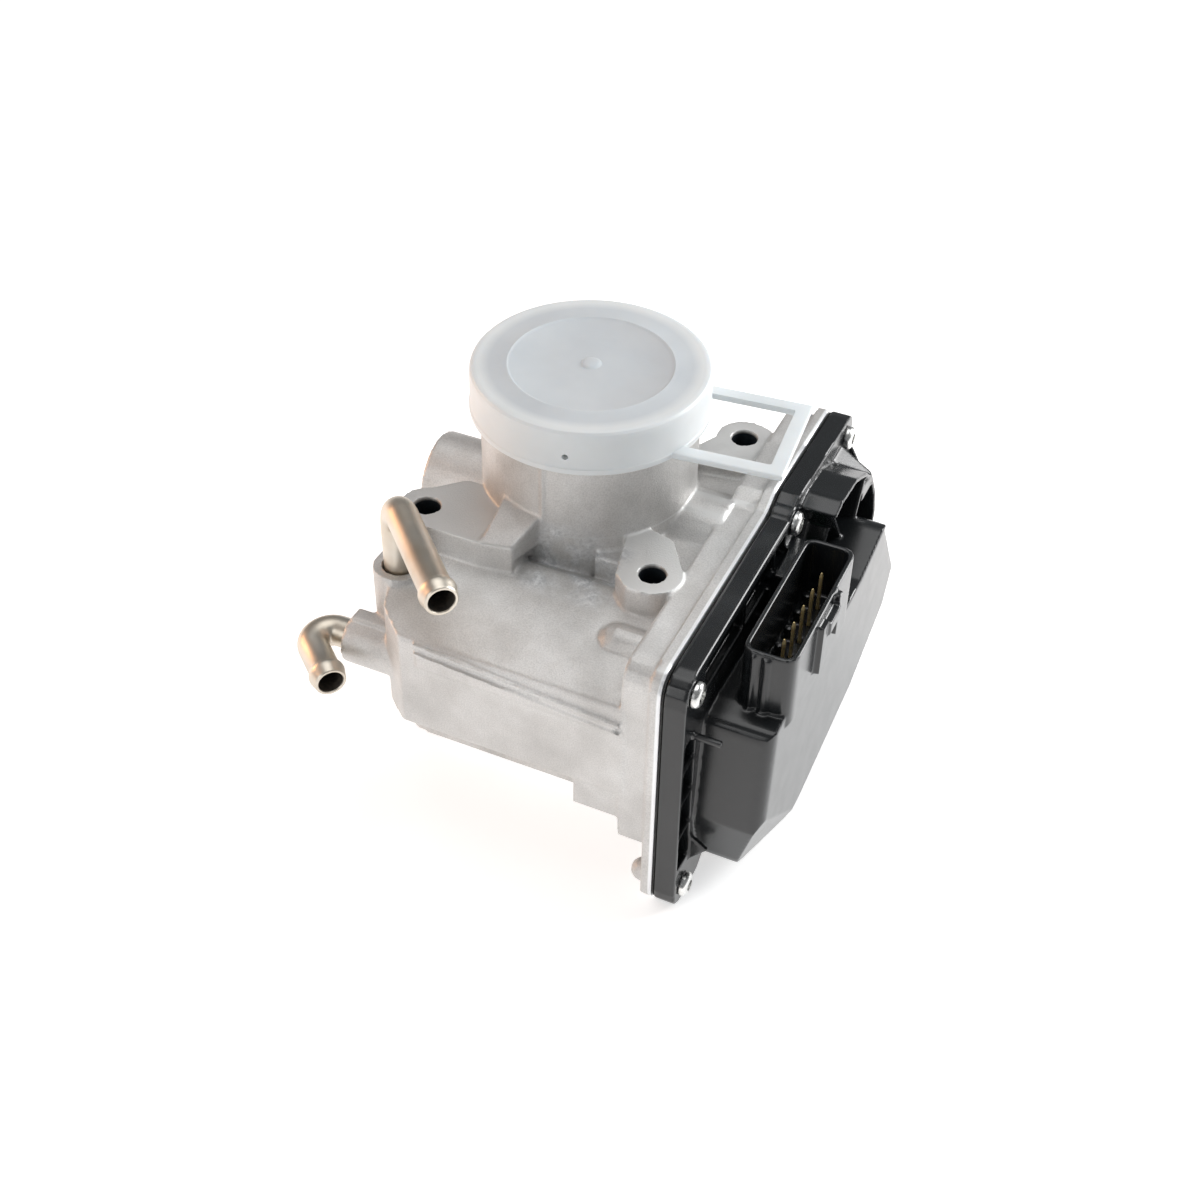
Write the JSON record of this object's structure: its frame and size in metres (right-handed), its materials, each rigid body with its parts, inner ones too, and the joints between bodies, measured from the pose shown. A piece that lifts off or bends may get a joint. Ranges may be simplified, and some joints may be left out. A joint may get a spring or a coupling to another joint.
{
  "type": "electronic throttle body",
  "caption": "Motor-driven throttle body: cast bore and motor housing, butterfly plate, gear train under a black cover with a connector, bent coolant pipes and a pull-off dust cap.",
  "frame": {"origin": "on the bore axis, in the plane of the manifold face (underside of the square flange)", "axes": "+Z along the bore from the manifold face to the intake tube, +X along the throttle shaft towards the gear cover, -Y the motor side"},
  "size_m": [0.1322, 0.1299, 0.1124],
  "materials": {
    "cast_aluminium": "shot-blasted die casting, machined lug tops",
    "black_plastic": "semi-gloss moulded glass-filled plastic",
    "seal_rubber": "matte",
    "screw_steel": "bright, zinc-plated",
    "plated_steel": "yellow-tinted zinc plate",
    "gold_contacts": "polished, gold-plated",
    "brass_plate": "satin",
    "gear_plastic": "natural acetal",
    "ferrite": "matte dark grey",
    "copper": "enamelled winding",
    "circuit_board": "solder-masked board",
    "cap_plastic": "soft translucent polyethylene, frosted"
  },
  "bodies": {
    "housing": {"throttle_housing": "cast_aluminium", "gear_cover": "black_plastic", "cover_gasket": "seal_rubber", "cover_screw_1": "screw_steel", "cover_screw_2": "screw_steel", "cover_screw_3": "screw_steel", "cover_screw_4": "screw_steel", "cover_screw_5": "screw_steel", "cover_screw_6": "screw_steel", "connector_pin_1": "gold_contacts", "connector_pin_2": "gold_contacts", "connector_pin_3": "gold_contacts", "connector_pin_4": "gold_contacts", "connector_pin_5": "gold_contacts", "connector_pin_6": "gold_contacts", "coolant_pipe_upper": "plated_steel", "coolant_pipe_side": "plated_steel", "shaft_end_plug": "screw_steel", "needle_bearing": "screw_steel", "shaft_seal": "seal_rubber", "ball_bearing": "screw_steel", "idler_pin": "screw_steel", "stop_pin": "screw_steel", "return_spring": "screw_steel", "motor_can": "plated_steel", "motor_wave_washer": "screw_steel", "motor_magnet_upper": "ferrite", "motor_magnet_lower": "ferrite", "motor_brush_upper": "ferrite", "motor_brush_lower": "ferrite", "motor_end_cap": "black_plastic", "motor_screw_1": "screw_steel", "motor_screw_2": "screw_steel", "sensor_board": "circuit_board"},
    "throttle": {"throttle_shaft": "screw_steel", "throttle_plate": "brass_plate", "plate_screw_1": "screw_steel", "plate_screw_2": "screw_steel", "sector_gear": "gear_plastic", "sensor_magnet": "ferrite"},
    "idler": {"idler_gear": "gear_plastic"},
    "motor_rotor": {"motor_shaft": "screw_steel", "motor_armature": "copper", "motor_commutator": "copper", "motor_pinion": "brass_plate"},
    "cap": {"dust_cap": "cap_plastic"}
  },
  "joints": [
    {"name": "throttle_turn", "type": "hinge", "parent": "housing", "child": "throttle", "pos_m": [0, 0, 0.0605], "axis": [-1, 0, 0], "range_deg": [-6, 74], "stiffness_Nm_per_rad": 0.2},
    {"name": "idler_turn", "type": "hinge", "parent": "housing", "child": "idler", "pos_m": [0, -0.01874, 0.03456], "axis": [-1, 0, 0], "range_deg": [-325, 30]},
    {"name": "motor_turn", "type": "hinge", "parent": "housing", "child": "motor_rotor", "pos_m": [0, -0.0495, 0.0465], "axis": [-1, 0, 0], "range_deg": [-120, 1450]},
    {"name": "cap_pull", "type": "slide", "parent": "housing", "child": "cap", "axis": [0, 0, 1], "range_m": [0, 0.035]}
  ],
  "couplings": [
    {"joint": "idler_turn", "follows": "throttle_turn", "ratio": -4.3333},
    {"joint": "motor_turn", "follows": "throttle_turn", "ratio": 19.5}
  ]
}
